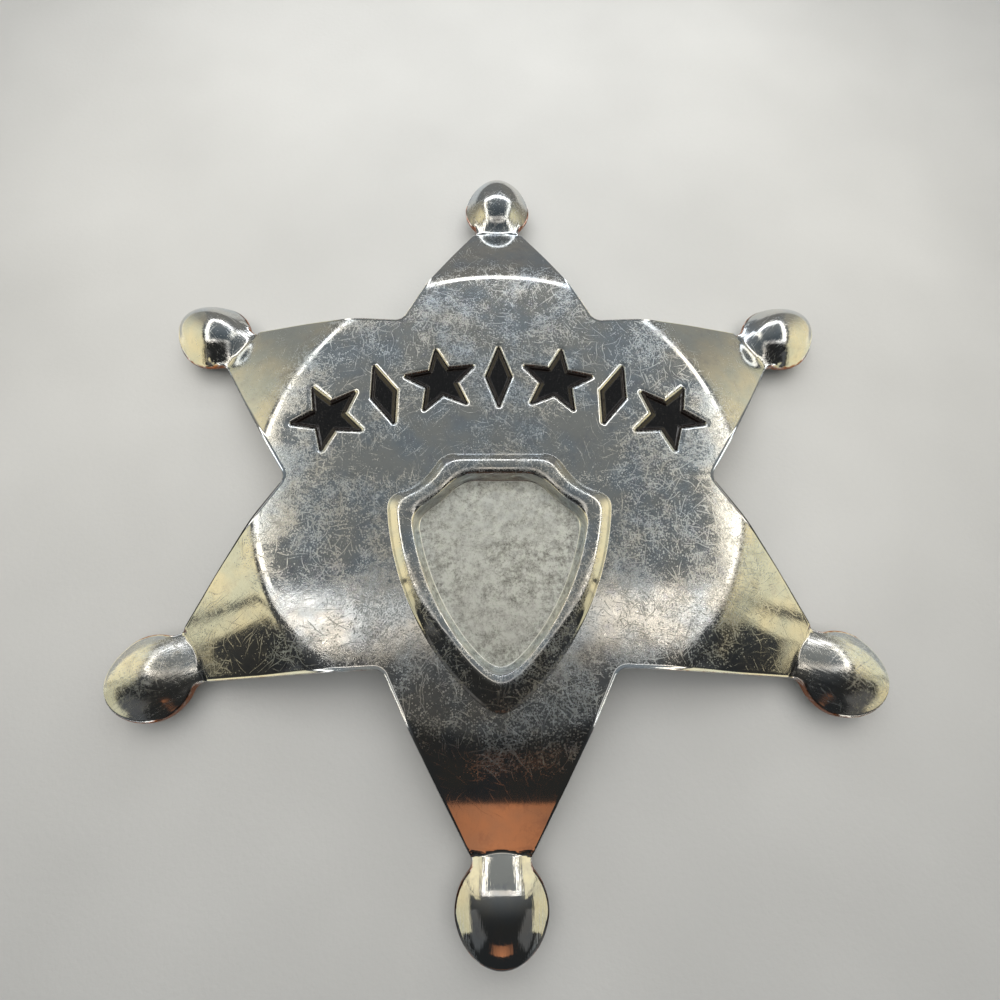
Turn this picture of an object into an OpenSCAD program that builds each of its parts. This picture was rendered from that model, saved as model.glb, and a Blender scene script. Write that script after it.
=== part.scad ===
// Sheriff star badge: a six-pointed star stamped from sheet metal, hollow at the back, with a half
// ball on each tip, a raised shield border, black enamel in sunk shapes, and a bar pin behind.
// Millimetres. +Y points to the top ball, +Z out of the face, and z = 0 is the surface it lies on.

/* [Star] */
// Height over the top and the bottom ball
star_h = 70; // [64:0.5:76]
// Distance of the six inner corners from the middle
notch_r = 17.8; // [17:0.1:19]
// Rounding of the six inner corners
notch_round = 1; // [0.4:0.1:1.6]
// Width of the necks between arms and balls
neck_w = 4.4; // [3.8:0.1:5]
// Length of each neck's sides
neck_l = 0.65; // [0.4:0.05:1]
// Thickness of the sheet metal
sheet_t = 0.7; // [0.6:0.05:0.85]
// Height of the flat face above the necks
face_rise = 3.15; // [2.6:0.05:3.6]
// Distance from the middle to the line where the arms bend down
bend_at = 20.6; // [20:0.1:22]
// Radius of that bend, measured on the face
bend_r = 4; // [2:0.5:5]

/* [Balls] */
// Radius of the half balls, seen from the front
ball_r = 3.35; // [3.1:0.05:3.6]
// Height of a half ball above its rim
ball_rise = 2.45; // [2.3:0.05:2.6]
// Height of the upright skirt above the rim
ball_skirt = 0.9; // [0.85:0.05:1.05]

/* [Shield] */
// Greatest width that the shield's two side arcs would reach
shield_w = 18.8; // [16:0.2:20]
// Height of the shield from its top edge to where its side arcs meet
shield_h = 21; // [18:0.2:21.6]
// Height of the shield's top edge above the middle of the star
shield_top = 2; // [1.6:0.1:2.6]
// Radius of the hollow arcs that cut the shield's shoulders
shoulder_r = 4.6; // [3.6:0.1:5.2]
// Width of the raised border
border_w = 2.3; // [1.8:0.1:2.6]
// Height of the raised border above the face
border_rise = 0.8; // [0.4:0.05:1]
// Depth of the shield's field below the face
field_drop = 0.3; // [0.1:0.05:0.35]
// Width of the groove behind the border
groove_w = 0.8; // [0.4:0.1:1]

/* [Enamel] */
// Radius of the arc on which the sunk shapes stand
band_r = 29.3; // [27:0.1:31]
// Height of that arc's top above the middle of the star
band_top = 9.5; // [9:0.1:10.4]
// Distance between neighbouring shapes along the arc
pitch = 5.15; // [4.9:0.05:5.4]
// Radius of the sunk five-pointed stars, out to their points
spark_r = 3.5; // [2.6:0.1:3.6]
// Width of the sunk lozenges
lozenge_w = 2.4; // [1.6:0.1:2.6]
// Height of the sunk lozenges
lozenge_h = 6.6; // [5:0.1:7]
// Depth of the sunk shapes
sunk = 0.45; // [0.35:0.05:0.5]
// Thickness of the enamel in them
enamel_t = 0.3; // [0.15:0.05:0.35]
// Space left round and under the enamel
enamel_gap = 0.05; // [0.02:0.01:0.1]

/* [Pin back] */
// Height of the whole fastening, from its feet to the strip behind the face
pin_h = 5; // [4.6:0.1:6]
// Length of the base strip
strip_l = 28; // [24:0.5:32]
// Width of the base strip, and the spread of its feet
strip_w = 5.6; // [5:0.1:6]
// Thickness of the strip, the ears and the catch
strip_t = 0.6; // [0.5:0.05:0.8]
// Space between the strip and the back of the star, for the solder
solder_gap = 0.1; // [0.05:0.01:0.2]
// Diameter of the pin's stem
stem_d = 0.9; // [0.7:0.05:1.1]
// Space round the stem in its catch
catch_gap = 0.1; // [0.05:0.01:0.2]
// Width of the ears and of the catch, along the strip
foot_l = 3.6; // [3:0.1:4.5]
// Distance of the ears and the catch from the strip's ends
foot_inset = 1.4; // [1:0.1:2.5]
// Radius of the barrel that holds the stem between the ears
barrel_r = 1; // [0.7:0.05:1.1]
// Length of stem that stands out past the catch
stem_past = 1; // [0.5:0.1:1.4]
// Height of the fastening's middle above the middle of the star
pin_y = 1; // [0.4:0.1:1.6]

/* [Hidden] */
$fn = 64;
ARMS = 6;
SHAPES = 7;
EPS = 0.01;

// Heights of the star's levels above the surface
back_z = pin_h + solder_gap;
face_z = back_z + sheet_t;
neck_z = face_z - face_rise;
rim_z = neck_z - sheet_t;

// Distances from the middle of the star
ball_at = star_h / 2 - ball_r;
neck_end = ball_at - sqrt(ball_r * ball_r - neck_w * neck_w / 4);
neck_at = neck_end - neck_l;

// Slope of the arms, and the tangent length of the bend
slope = atan2(face_rise, neck_at - bend_at);
bend_reach = bend_r * tan(slope / 2);

// Radius of the sphere that gives the half balls their crown above their skirt
crown_rise = ball_rise - ball_skirt;
dome_r = (ball_r * ball_r + crown_rise * crown_rise) / (2 * crown_rise);

// Radius of the shield's side arcs, from its half width and its depth below the middle
shield_half = shield_w / 2;
shield_deep = shield_h - shield_top;
shield_side_r = (shield_half * shield_half + shield_deep * shield_deep) / shield_w;
// Middle of a shoulder arc, past the side and above the top edge, as shares of its radius
shoulder_x = shield_half + 0.04 * shoulder_r;
shoulder_y = shield_top + 0.2 * shoulder_r;

// Steps of the border: share of its width left on each side, share of its height
BORDER_STEPS = [[0, 0.45], [0.14, 0.8], [0.26, 1]];

// Inner radius of the sunk stars as a share of their outer radius
SPARK_WAIST = 0.43;

// Fillet of radius r at corner p between a and b, as points along its arc
function unit(v) = v / norm(v);
function swing(d) = d > 180 ? d - 360 : d < -180 ? d + 360 : d;
function fillet(a, p, b, r, steps = 6) =
    let (
        u = unit(a - p),
        v = unit(b - p),
        half = acos(u * v) / 2,
        mid = p + unit(u + v) * r / sin(half),
        from = p + u * r / tan(half) - mid,
        to = p + v * r / tan(half) - mid,
        start = atan2(from[1], from[0]),
        turn = swing(atan2(to[1], to[0]) - start)
    )
    [for (i = [0 : steps]) mid + r * [cos(start + turn * i / steps), sin(start + turn * i / steps)]];
function polar(r, a) = [r * cos(a), r * sin(a)];
function turned(p, a) = [p[0] * cos(a) - p[1] * sin(a), p[0] * sin(a) + p[1] * cos(a)];

// One arm's outline from its clockwise inner corner to its tip inside the ball, pointing along +X
function arm_points() =
    let (
        low = turned([neck_at, neck_w / 2], -360 / ARMS),
        corner = polar(notch_r, -180 / ARMS),
        high = [neck_at, -neck_w / 2]
    )
    concat(
        fillet(low, corner, high, notch_round),
        [high, [ball_at, -neck_w / 2], [ball_at, neck_w / 2], [neck_at, neck_w / 2]]
    );

module at_tips() {
    for (i = [0 : ARMS - 1])
        rotate(90 + i * 360 / ARMS)
            translate([ball_at, 0, 0])
                children();
}

module star_outline() {
    polygon([
        for (i = [0 : ARMS - 1])
            for (p = arm_points())
                turned(p, 90 + i * 360 / ARMS)
    ]);
}

// Cross-section of the sheet from the middle outwards: flat face, bend, slope, flat neck
function sheet_line(offset_in, bend_steps = 6) =
    let (
        z = face_z - offset_in,
        r = bend_r - offset_in,
        hub = [bend_at - bend_reach, face_z - bend_r],
        foot = neck_at - offset_in * tan(slope / 2)
    )
    concat(
        [[0, z]],
        [for (i = [0 : bend_steps]) hub + r * [sin(slope * i / bend_steps), cos(slope * i / bend_steps)]],
        [[foot, neck_z - offset_in], [star_h / 2, neck_z - offset_in]]
    );

module sheet_section() {
    top = sheet_line(0);
    under = sheet_line(sheet_t);
    polygon(concat(top, [for (i = [len(under) - 1 : -1 : 0]) under[i]]));
}

module sheet() {
    intersection() {
        linear_extrude(height = face_z + EPS)
            star_outline();
        rotate_extrude($fn = 180)
            sheet_section();
    }
}

// Half section of a ball: a crown of a sphere on a short upright skirt that reaches down to low
module ball_section(inset, low) {
    intersection() {
        translate([0, rim_z + ball_rise - dome_r])
            circle(dome_r - inset);
        translate([0, low])
            square([ball_r - inset, rim_z + ball_rise - low]);
    }
}

module ball_body() {
    rotate_extrude()
        ball_section(0, rim_z);
}

module ball_hollow() {
    rotate_extrude()
        ball_section(sheet_t, rim_z - EPS);
}

// Shield outline moved inwards by inset
module shield_outline(inset) {
    difference() {
        intersection() {
            translate([shield_half - shield_side_r, 0])
                circle(shield_side_r - inset, $fn = 180);
            translate([shield_side_r - shield_half, 0])
                circle(shield_side_r - inset, $fn = 180);
            translate([-shield_half, inset - shield_h])
                square([shield_w, shield_h + shield_top - 2 * inset]);
        }
        for (side = [-1, 1])
            translate([side * shoulder_x, shoulder_y])
                circle(shoulder_r + inset);
    }
}

module shield_ring(from, to) {
    difference() {
        shield_outline(from);
        shield_outline(to);
    }
}

module shield_border() {
    for (row = BORDER_STEPS)
        translate([0, 0, face_z - sheet_t / 2])
            linear_extrude(height = sheet_t / 2 + row[1] * border_rise)
                shield_ring(row[0] * border_w, (1 - row[0]) * border_w);
}

module shield_groove() {
    side = (border_w - groove_w) / 2;
    translate([0, 0, back_z - EPS])
        linear_extrude(height = border_rise + EPS)
            shield_ring(side, border_w - side);
}

module shield_field() {
    translate([0, 0, face_z - field_drop])
        linear_extrude(height = field_drop + EPS)
            shield_outline(border_w);
}

// Distance from the middle of each sunk shape to its edges, which an even inset takes away from
spark_edge = spark_r * spark_r * SPARK_WAIST * sin(36)
    / norm(polar(spark_r, 0) - polar(spark_r * SPARK_WAIST, 36));
lozenge_edge = lozenge_w * lozenge_h / 4 / norm([lozenge_w / 2, lozenge_h / 2]);

module spark(inset) {
    size = spark_r * (1 - inset / spark_edge);
    polygon([for (i = [0 : 9]) polar(size * (i % 2 == 0 ? 1 : SPARK_WAIST), 90 + i * 36)]);
}

module lozenge(inset) {
    size = 1 - inset / lozenge_edge;
    polygon([for (i = [0 : 3]) size / 2 * [lozenge_w * cos(i * 90), lozenge_h * sin(i * 90)]]);
}

// Places a shape on the band: place 0 is at the left end, and each shape's top faces outwards
module on_band(place) {
    lean = ((SHAPES - 1) / 2 - place) * pitch / band_r * 180 / PI;
    translate([0, band_top - band_r, 0])
        rotate(lean)
            translate([0, band_r, 0])
                children();
}

module band_shape(place, inset) {
    if (place % 2 == 0)
        spark(inset);
    else
        lozenge(inset);
}

module sunk_shapes() {
    for (place = [0 : SHAPES - 1])
        on_band(place)
            translate([0, 0, face_z - sunk])
                linear_extrude(height = sunk + EPS)
                    band_shape(place, 0);
}

module enamel(place) {
    color([0.08, 0.06, 0.08])
        on_band(place)
            translate([0, 0, face_z - sunk + enamel_gap])
                linear_extrude(height = enamel_t)
                    band_shape(place, enamel_gap);
}

module enamel_star(number) {
    enamel(2 * number - 2);
}

module enamel_lozenge(number) {
    enamel(2 * number - 1);
}

module star() {
    color([0.55, 0.58, 0.6])
        difference() {
            union() {
                sheet();
                at_tips()
                    ball_body();
                shield_border();
            }
            at_tips()
                ball_hollow();
            shield_field();
            shield_groove();
            sunk_shapes();
        }
}

// Height of the stem's axis: it lies on the floor of the catch
stem_z = strip_t + catch_gap + stem_d / 2;
foot_x = strip_l / 2 - foot_inset - foot_l / 2;

module base_strip() {
    translate([0, 0, pin_h - strip_t])
        linear_extrude(height = strip_t) {
            square([strip_l - strip_w, strip_w], center = true);
            for (side = [-1, 1])
                translate([side * (strip_l - strip_w) / 2, 0])
                    circle(d = strip_w);
        }
}

// Two ears that stand on the surface, with the barrel between them
module hinge_ears() {
    for (side = [-1, 1])
        translate([-foot_x - foot_l / 2, side * (strip_w - strip_t) / 2 - strip_t / 2, 0])
            cube([foot_l, strip_t, pin_h - strip_t / 2]);
    translate([-foot_x, 0, stem_z])
        rotate([90, 0, 0])
            cylinder(r = barrel_r, h = strip_w - strip_t, center = true);
}

// Catch: a strip bent into a hook whose floor stands on the surface
module catch_hook() {
    wall_y = strip_w / 2 - strip_t;
    translate([foot_x - foot_l / 2, 0, 0]) {
        translate([0, -strip_w / 2, 0])
            cube([foot_l, strip_w, strip_t]);
        translate([0, wall_y, 0])
            cube([foot_l, strip_t, pin_h - strip_t / 2]);
        translate([0, -strip_w / 2, 0])
            cube([foot_l, strip_t, stem_z + stem_d]);
    }
}

module stem() {
    translate([-foot_x, 0, stem_z])
        rotate([0, 90, 0])
            cylinder(d = stem_d, h = 2 * foot_x + foot_l / 2 + stem_past);
}

module pin_back() {
    color([0.5, 0.5, 0.5])
        translate([0, pin_y, 0]) {
            base_strip();
            hinge_ears();
            catch_hook();
            stem();
        }
}

star();
enamel_star(1);  // enamel_star_1
enamel_star(2);  // enamel_star_2
enamel_star(3);  // enamel_star_3
enamel_star(4);  // enamel_star_4
enamel_lozenge(1);  // enamel_lozenge_1
enamel_lozenge(2);  // enamel_lozenge_2
enamel_lozenge(3);  // enamel_lozenge_3
pin_back();
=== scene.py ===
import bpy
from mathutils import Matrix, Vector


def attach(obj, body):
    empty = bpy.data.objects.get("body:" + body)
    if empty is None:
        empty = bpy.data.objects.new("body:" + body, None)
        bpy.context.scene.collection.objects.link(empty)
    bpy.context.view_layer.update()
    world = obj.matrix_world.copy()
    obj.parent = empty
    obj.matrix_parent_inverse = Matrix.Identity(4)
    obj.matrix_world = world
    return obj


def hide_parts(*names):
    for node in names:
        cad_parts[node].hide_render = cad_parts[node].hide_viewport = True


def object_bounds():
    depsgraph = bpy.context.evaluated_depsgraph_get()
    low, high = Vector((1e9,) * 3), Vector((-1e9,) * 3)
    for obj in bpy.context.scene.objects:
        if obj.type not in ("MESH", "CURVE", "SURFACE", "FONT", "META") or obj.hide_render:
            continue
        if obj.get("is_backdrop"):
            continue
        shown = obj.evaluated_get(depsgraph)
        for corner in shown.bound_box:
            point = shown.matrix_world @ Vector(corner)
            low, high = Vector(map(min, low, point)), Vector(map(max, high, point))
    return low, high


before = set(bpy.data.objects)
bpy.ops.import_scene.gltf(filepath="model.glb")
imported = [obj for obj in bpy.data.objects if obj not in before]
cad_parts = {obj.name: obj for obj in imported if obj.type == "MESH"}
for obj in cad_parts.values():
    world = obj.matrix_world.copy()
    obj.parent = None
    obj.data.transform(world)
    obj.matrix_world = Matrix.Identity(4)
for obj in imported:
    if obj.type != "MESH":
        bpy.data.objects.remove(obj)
cad_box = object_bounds()
print("nodes:", ", ".join(sorted(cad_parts)))

# %% [markdown]
# # A stamped star badge
#
# The real badge is one stamping of thin plated brass. Its six arms bend down towards hollow half
# balls, a shield border is pressed up out of the face, and sunk shapes hold black enamel. A bar pin
# is soldered behind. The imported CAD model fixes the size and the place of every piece. This lesson
# adds what the eye looks for: rolled edges, a worn mirror plate, glossy enamel and the light that a
# mirror needs.

# %% [markdown]
# ## Modules and the unit
#
# Blender works in metres and the badge is drawn in millimetres, so one constant turns one into the
# other. Numpy carries the shapes, because every height on this badge is a formula of x and y.

# %% Modules and the unit
import math

import bmesh
import bpy
import numpy as np
from mathutils import Euler, Vector
from mathutils.geometry import delaunay_2d_cdt
from mathutils.kdtree import KDTree

MM = 0.001

# %% [markdown]
# ## The camera
#
# The photograph was taken from close by with a wide lens, so the near balls look larger than the far
# one. A longer lens from further off would be easier to light but would lose that. The place, the
# tilt and the lens come from a fit of the badge's corners to the photograph.

# %% The camera
lens = bpy.data.cameras.new("close_wide_lens")
lens.lens = 20.61
lens.sensor_width = 36
lens.clip_start = 1 * MM
lens.clip_end = 10
camera = bpy.data.objects.new("camera", lens)
camera.location = Vector((-0.707, -17.387, 50.186)) * MM
camera.rotation_euler = Euler((0.3305, -0.0141, -0.007))
bpy.context.scene.collection.objects.link(camera)
bpy.context.scene.camera = camera
bpy.context.scene.view_settings.view_transform = "Standard"
print("camera", round(camera.location.length / MM, 1), "mm from the middle of the star")

# %% [markdown]
# ## The bent sheet
#
# The blank is flat in the middle and bends down along a circle, so its height is a formula of the
# distance from the middle: level, a small arc, a straight slope, level again at the neck. A lathe
# with a cut-out would give the same form with coarse facets. A formula gives exact slopes, and a
# mirror shows every wrong slope. The same formula with a depth gives the back of the sheet.

# %% The bent sheet
SHEET = 0.7
FACE_Z = 5.8
ARM_DROP = 3.15
BEND_AT = 20.6
BEND_R = 4.0
STAR_REACH = 35.0
NECK_W = 4.4
NECK_L = 0.65
BALL_R = 3.35
BALL_AT = STAR_REACH - BALL_R
NECK_AT = BALL_AT - math.sqrt(BALL_R**2 - NECK_W**2 / 4) - NECK_L
SLOPE = math.atan2(ARM_DROP, NECK_AT - BEND_AT)


def smooth_max(a, b, width):
    near = np.maximum(width - np.abs(a - b), 0) / width
    return np.maximum(a, b) + near * near * width / 4


def ease(t):
    t = np.clip(t, 0, 1)
    return t * t * (3 - 2 * t)


def sheet_height(r, depth=0.0):
    """Height of the bent sheet at distance r from the middle, some depth below its front."""
    start = BEND_AT - BEND_R * math.tan(SLOPE / 2)
    radius = BEND_R - depth
    past = r - start
    arc = np.sqrt(radius**2 - np.clip(past, 0, radius * math.sin(SLOPE)) ** 2) - BEND_R
    line = (BEND_AT - r) * math.tan(SLOPE) - depth / math.cos(SLOPE)
    drop = np.where(past < radius * math.sin(SLOPE), arc, line)
    return FACE_Z + smooth_max(drop, -ARM_DROP - depth, 0.3)


print("arm slope", round(math.degrees(SLOPE), 1), "degrees")

# %% [markdown]
# ## The outline
#
# A die cuts the outline: straight arm sides, small roundings in the six inner corners, a short neck
# and a round end on each arm. It is traced once round as a dense line with the direction that points
# outwards at each point. Everything that follows the edge, such as the rolled lip, is then a matter
# of stepping inwards from this line.

# %% The outline
NOTCH_AT = 17.8
NOTCH_R = 1.0
NECK_CORNER_R = 0.6
FLARE_R = 0.8
FLARE_P = BALL_AT - math.sqrt((BALL_R + FLARE_R) ** 2 - (NECK_W / 2 + FLARE_R) ** 2)
EDGE_STEP = 0.02
ARM_TURNS = [math.pi / 2 + k * math.pi / 3 for k in range(6)]


def around(centre, radius, angles):
    """Points at these angles round a centre."""
    return np.asarray(centre) + np.stack([radius * np.cos(angles), radius * np.sin(angles)], 1)


def arc(centre, radius, start, turn, count=0):
    count = count or max(3, int(abs(turn) * radius / EDGE_STEP))
    return around(centre, radius, start + turn * np.linspace(0, 1, count))


def rounded_corner(before, corner, after, radius):
    u = (before - corner) / np.linalg.norm(before - corner)
    v = (after - corner) / np.linalg.norm(after - corner)
    half = math.acos(u @ v) / 2
    centre = corner + (u + v) / np.linalg.norm(u + v) * radius / math.sin(half)
    first = corner + u * radius / math.tan(half) - centre
    last = corner + v * radius / math.tan(half) - centre
    start = math.atan2(first[1], first[0])
    turn = (math.atan2(last[1], last[0]) - start + math.pi) % (2 * math.pi) - math.pi
    return arc(centre, radius, start, turn)


def turned(points, angle):
    points = np.asarray(points)
    c, s = math.cos(angle), math.sin(angle)
    return np.stack([points[..., 0] * c - points[..., 1] * s, points[..., 0] * s + points[..., 1] * c], -1)


def evenly(points, gap):
    """The same closed line with points at even steps."""
    closed = np.vstack([points, points[:1]])
    along = np.concatenate([[0], np.cumsum(np.linalg.norm(np.diff(closed, axis=0), axis=1))])
    steps = np.linspace(0, along[-1], int(round(along[-1] / gap)) + 1)[:-1]
    return np.stack([np.interp(steps, along, closed[:, 0]), np.interp(steps, along, closed[:, 1])], 1)


def outward(line):
    """Unit directions that point out of a closed line drawn counterclockwise."""
    along = np.roll(line, -2, 0) - np.roll(line, 2, 0)
    out = np.stack([along[:, 1], -along[:, 0]], 1)
    return out / np.linalg.norm(out, axis=1)[:, None]


def arm_line():
    """One arm's edge, pointing along x, from its clockwise inner corner to its far neck corner."""
    notch = turned([NOTCH_AT, 0.0], -math.pi / 6)
    low = np.array([NECK_AT, -NECK_W / 2])
    high = np.array([NECK_AT, NECK_W / 2])
    flare_low = np.array([FLARE_P, -NECK_W / 2])
    meet = math.atan2(NECK_W / 2 + FLARE_R, BALL_AT - FLARE_P)
    return np.vstack([
        rounded_corner(turned(high, -math.pi / 3), notch, low, NOTCH_R),
        rounded_corner(notch, low, flare_low, NECK_CORNER_R),
        arc([FLARE_P, -NECK_W / 2 - FLARE_R], FLARE_R, math.pi / 2, meet - math.pi / 2),
        arc([BALL_AT, 0], BALL_R, meet - math.pi, 2 * (math.pi - meet)),
        arc([FLARE_P, NECK_W / 2 + FLARE_R], FLARE_R, -meet, meet - math.pi / 2),
        rounded_corner(flare_low * [1, -1], high, notch * [1, -1], NECK_CORNER_R),
    ])


arm = arm_line()
edge_line = evenly(np.vstack([turned(arm, turn) for turn in ARM_TURNS]), EDGE_STEP)
edge_out = outward(edge_line)
edge_tree = KDTree(len(edge_line))
for number, point in enumerate(edge_line):
    edge_tree.insert((point[0], point[1], 0), number)
edge_tree.balance()
print("outline", round(len(edge_line) * EDGE_STEP), "mm round")

# %% [markdown]
# ## The half balls
#
# Each tip is a hollow half ball, drawn up from the same sheet. Seen from above it is round, so it is
# easiest to think of in its own arm's frame: one distance along the arm and one across. A ball is
# lower than half a sphere: a round crown, then a straight flank down to the cut rim. The reflections
# in the photograph show that the balls aren't alike. The three near ones run down to their necks in a
# long gentle ramp, and the three far ones are rounder and end in a hollow fillet. Both are kept. Seen
# along the arm, the crown of each ball reaches a little further on its outer side.

# %% The half balls
RIM_Z = FACE_Z - ARM_DROP - SHEET
BALL_TOP = 4.4
CROWN_R = 3.7
FLANK = math.radians(42)
FAR_CROWN_R = 3.1
FAR_FLANK = math.radians(46)
OUTER_SHARE = 0.72
RAMP_FROM = math.radians(23)
RAMP_CURVE = 0.076
ARM_ROUNDING = 0.35
NEAR_FILLET = 0.15
FAR_FILLET = 0.9


def arm_frame(x, y):
    """Distances along and across the nearest arm."""
    turn = np.round((np.arctan2(y, x) - np.pi / 2) / (np.pi / 3)) * np.pi / 3 + np.pi / 2
    return x * np.cos(turn) + y * np.sin(turn), -x * np.sin(turn) + y * np.cos(turn)


def cap_drop(r, radius=CROWN_R, flank=FLANK):
    """Drop below a ball's top at distance r: a circle in the middle, then a straight flank."""
    crown = radius * math.sin(flank)
    inner = np.minimum(r, crown)
    return radius - np.sqrt(radius**2 - inner**2) + (np.maximum(r, crown) - crown) * math.tan(flank)


def ramp_drop(back):
    """Drop towards the neck of a near ball: a circle first, then a slope that steepens slowly."""
    first = CROWN_R * math.sin(RAMP_FROM)
    past = np.maximum(back - first, 0)
    return cap_drop(np.minimum(back, first)) + math.tan(RAMP_FROM) * past + RAMP_CURVE * past**2


def ball_height(p, q, far):
    """Height of a ball in its arm's frame; far is 1 for the three balls away from the camera."""
    out = p - BALL_AT
    reach = np.where(out < 0, out, OUTER_SHARE * out)
    ramp = cap_drop(np.abs(q)) + ramp_drop(np.maximum(-out, 0))
    near_ball = np.where(out < 0, ramp, cap_drop(np.hypot(reach, q)))
    far_ball = cap_drop(np.hypot(reach, q), FAR_CROWN_R, FAR_FLANK)
    return BALL_TOP - near_ball * (1 - far) - far_ball * far


def blank_height(x, y):
    """Front of the sheet with its balls, before the relief and the lip."""
    p, q = arm_frame(x, y)
    far = ease((np.sin(np.arctan2(y, x)) + 0.2) / 0.5)
    flare = FLARE_R - np.sqrt(np.maximum(FLARE_R**2 - np.clip(p - FLARE_P, 0, FLARE_R * 0.69) ** 2, 0))
    overhang = np.maximum(np.abs(q) - NECK_W / 2 - flare, 0) * (p > NECK_AT)
    rounding = ARM_ROUNDING * ease((np.abs(q) - 0.8) / 1.4) * ease((p - 27.9) / 0.6)
    base = sheet_height(np.hypot(x, y)) - rounding - 2.5 * overhang - 2 * np.maximum(p - BALL_AT + 1.5, 0)
    dome = np.where(p > 26, ball_height(p, q, far), -50.0)
    return smooth_max(base, dome, NEAR_FILLET + (FAR_FILLET - NEAR_FILLET) * far)


print("ball top", BALL_TOP, "mm, flank", round(math.degrees(FLANK)), "degrees")

# %% [markdown]
# ## The shield
#
# A punch raises the border and sets the field inside it a little lower. The shield's outline is where
# two long side arcs, a level top and two hollow shoulder arcs meet. A signed distance to that outline
# is enough: the border's cross-section is then one curve of the distance, a gentle rise from outside,
# a round crest and a steep drop to the field. Only at the lower tip is the outer side gentler still, as
# the soft reflection there shows. Blending the distances softly rounds the corners as the punch does.

# %% The shield
FIELD_DROP = 0.3
BORDER_RISE = 0.73
BORDER_W = 2.4
CREST_AT = 1.3
CREST_R = 1.35
OUTER_SLOPE = 0.85
TIP_SLOPE = 0.48
INNER_SLOPE = 2.1
SHIELD_MIDDLE = (0, -6.5)
SIDE_AT = (-14.33, -0.75)
SIDE_R = 23.7
TOP_Y = 2.05
SHOULDER_AT = (9.6, 2.95)
SHOULDER_R = 4.5
TIP_ROUNDING = 1.4


def smooth_min(a, b, width):
    return -smooth_max(-a, -b, width)


def shield_inset(x, y):
    """Distance inwards from the border's outer edge; it is negative outside."""
    x = np.sqrt(x * x + TIP_ROUNDING)
    side = SIDE_R - np.hypot(x - SIDE_AT[0], y - SIDE_AT[1])
    top = TOP_Y - y
    shoulder = np.hypot(x - SHOULDER_AT[0], y - SHOULDER_AT[1]) - SHOULDER_R
    return smooth_min(smooth_min(side, top, 0.4), shoulder, 1.3)


def near_shield(x, y):
    """True round the shield; further off its distance means nothing."""
    return np.hypot(x, y + 8) < 14


def border_profile(s, y):
    """Height of the border over the face, s inwards from its outer edge; the lower tip slopes less."""
    outer = (OUTER_SLOPE + (TIP_SLOPE - OUTER_SLOPE) * ease((-9 - y) / 5)) * s
    crest = BORDER_RISE - CREST_R + np.sqrt(CREST_R**2 - np.clip(s - CREST_AT, -1.25, 1.25) ** 2)
    inner = INNER_SLOPE * (BORDER_W - s) - FIELD_DROP
    ridge = smooth_min(smooth_min(outer, crest, 0.13), inner, 0.13)
    return smooth_max(ridge, np.where(s < BORDER_W / 2, 0.0, -FIELD_DROP), 0.1)


print("border", BORDER_W, "mm wide,", BORDER_RISE, "mm high")

# %% [markdown]
# ## The sunk shapes
#
# A band of sunk shapes stands on an arc over the shield: four five-pointed stars and three lozenges,
# by turns. Each is a polygon, again as a signed distance. To round its corners, the polygon is first
# shrunk by the corner's radius, for which its sides' distance from the middle is needed, and then the
# radius is added to the distance. The edge rolls softly into the hollow, which gives each shape its
# bright rim.

# %% The sunk shapes
BAND_R = 29.3
BAND_TOP = 9.5
PITCH = 5.15
SUNK = 0.45
SUNK_LIP = 0.13
SUNK_LIP_W = 0.42
SPARK_R = 3.5
SPARK_INNER = 0.43
SPARK_SIDE = 1.265
LOZENGE = ((1.2, 0.0), (0.0, 3.3), (-1.2, 0.0), (0.0, -3.3))
LOZENGE_SIDE = 1.128
CORNER_R = 0.14


def spark_corners(size):
    radii = np.where(np.arange(10) % 2 == 0, size, size * SPARK_INNER)
    return around((0, 0), radii, math.pi / 2 + np.arange(10) * math.pi / 5)


def polygon_inset(corners, x, y):
    """Distance inwards from a polygon's edge; it is negative outside."""
    nearest = np.full(x.shape, 1e9)
    inside = np.zeros(x.shape, bool)
    for a, b in zip(corners, np.roll(corners, -1, 0)):
        side = b - a
        t = np.clip(((x - a[0]) * side[0] + (y - a[1]) * side[1]) / (side @ side), 0, 1)
        nearest = np.minimum(nearest, np.hypot(x - a[0] - t * side[0], y - a[1] - t * side[1]))
        crosses = (a[1] > y) != (b[1] > y)
        with np.errstate(divide="ignore", invalid="ignore"):
            reach = a[0] + (y - a[1]) / side[1] * side[0]
        inside ^= crosses & (x < reach)
    return np.where(inside, nearest, -nearest)


def place_on_band(place):
    """Middle and lean of a sunk shape; place 0 is at the left end."""
    lean = (3 - place) * PITCH / BAND_R
    return np.array([-BAND_R * math.sin(lean), BAND_TOP - BAND_R + BAND_R * math.cos(lean)]), lean


def shape_inset(place, x, y):
    """Distance inwards from the edge of the shape at this place, in the shape's own frame."""
    if place % 2 == 0:
        corners = spark_corners(SPARK_R * (1 - CORNER_R / SPARK_SIDE))
    else:
        corners = (1 - CORNER_R / LOZENGE_SIDE) * np.array(LOZENGE)
    return polygon_inset(corners, x, y) + CORNER_R


def sunk_profile(d):
    """Depth of the metal, d inwards from a shape's edge."""
    lip = SUNK_LIP * np.clip((d + SUNK_LIP_W) / SUNK_LIP_W, 0, 1) ** 2
    return lip + (SUNK - SUNK_LIP) * ease(d / 0.07)


def sunk_depth(x, y):
    depth = np.zeros(x.shape)
    for place in range(7):
        middle, lean = place_on_band(place)
        near = np.hypot(x - middle[0], y - middle[1]) < 4.2
        own = turned(np.stack([x[near] - middle[0], y[near] - middle[1]], 1), -lean)
        depth[near] += sunk_profile(shape_inset(place, own[:, 0], own[:, 1]))
    return depth


for place in range(7):
    print("sunk shape", place, "at", np.round(place_on_band(place)[0], 1))

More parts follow.
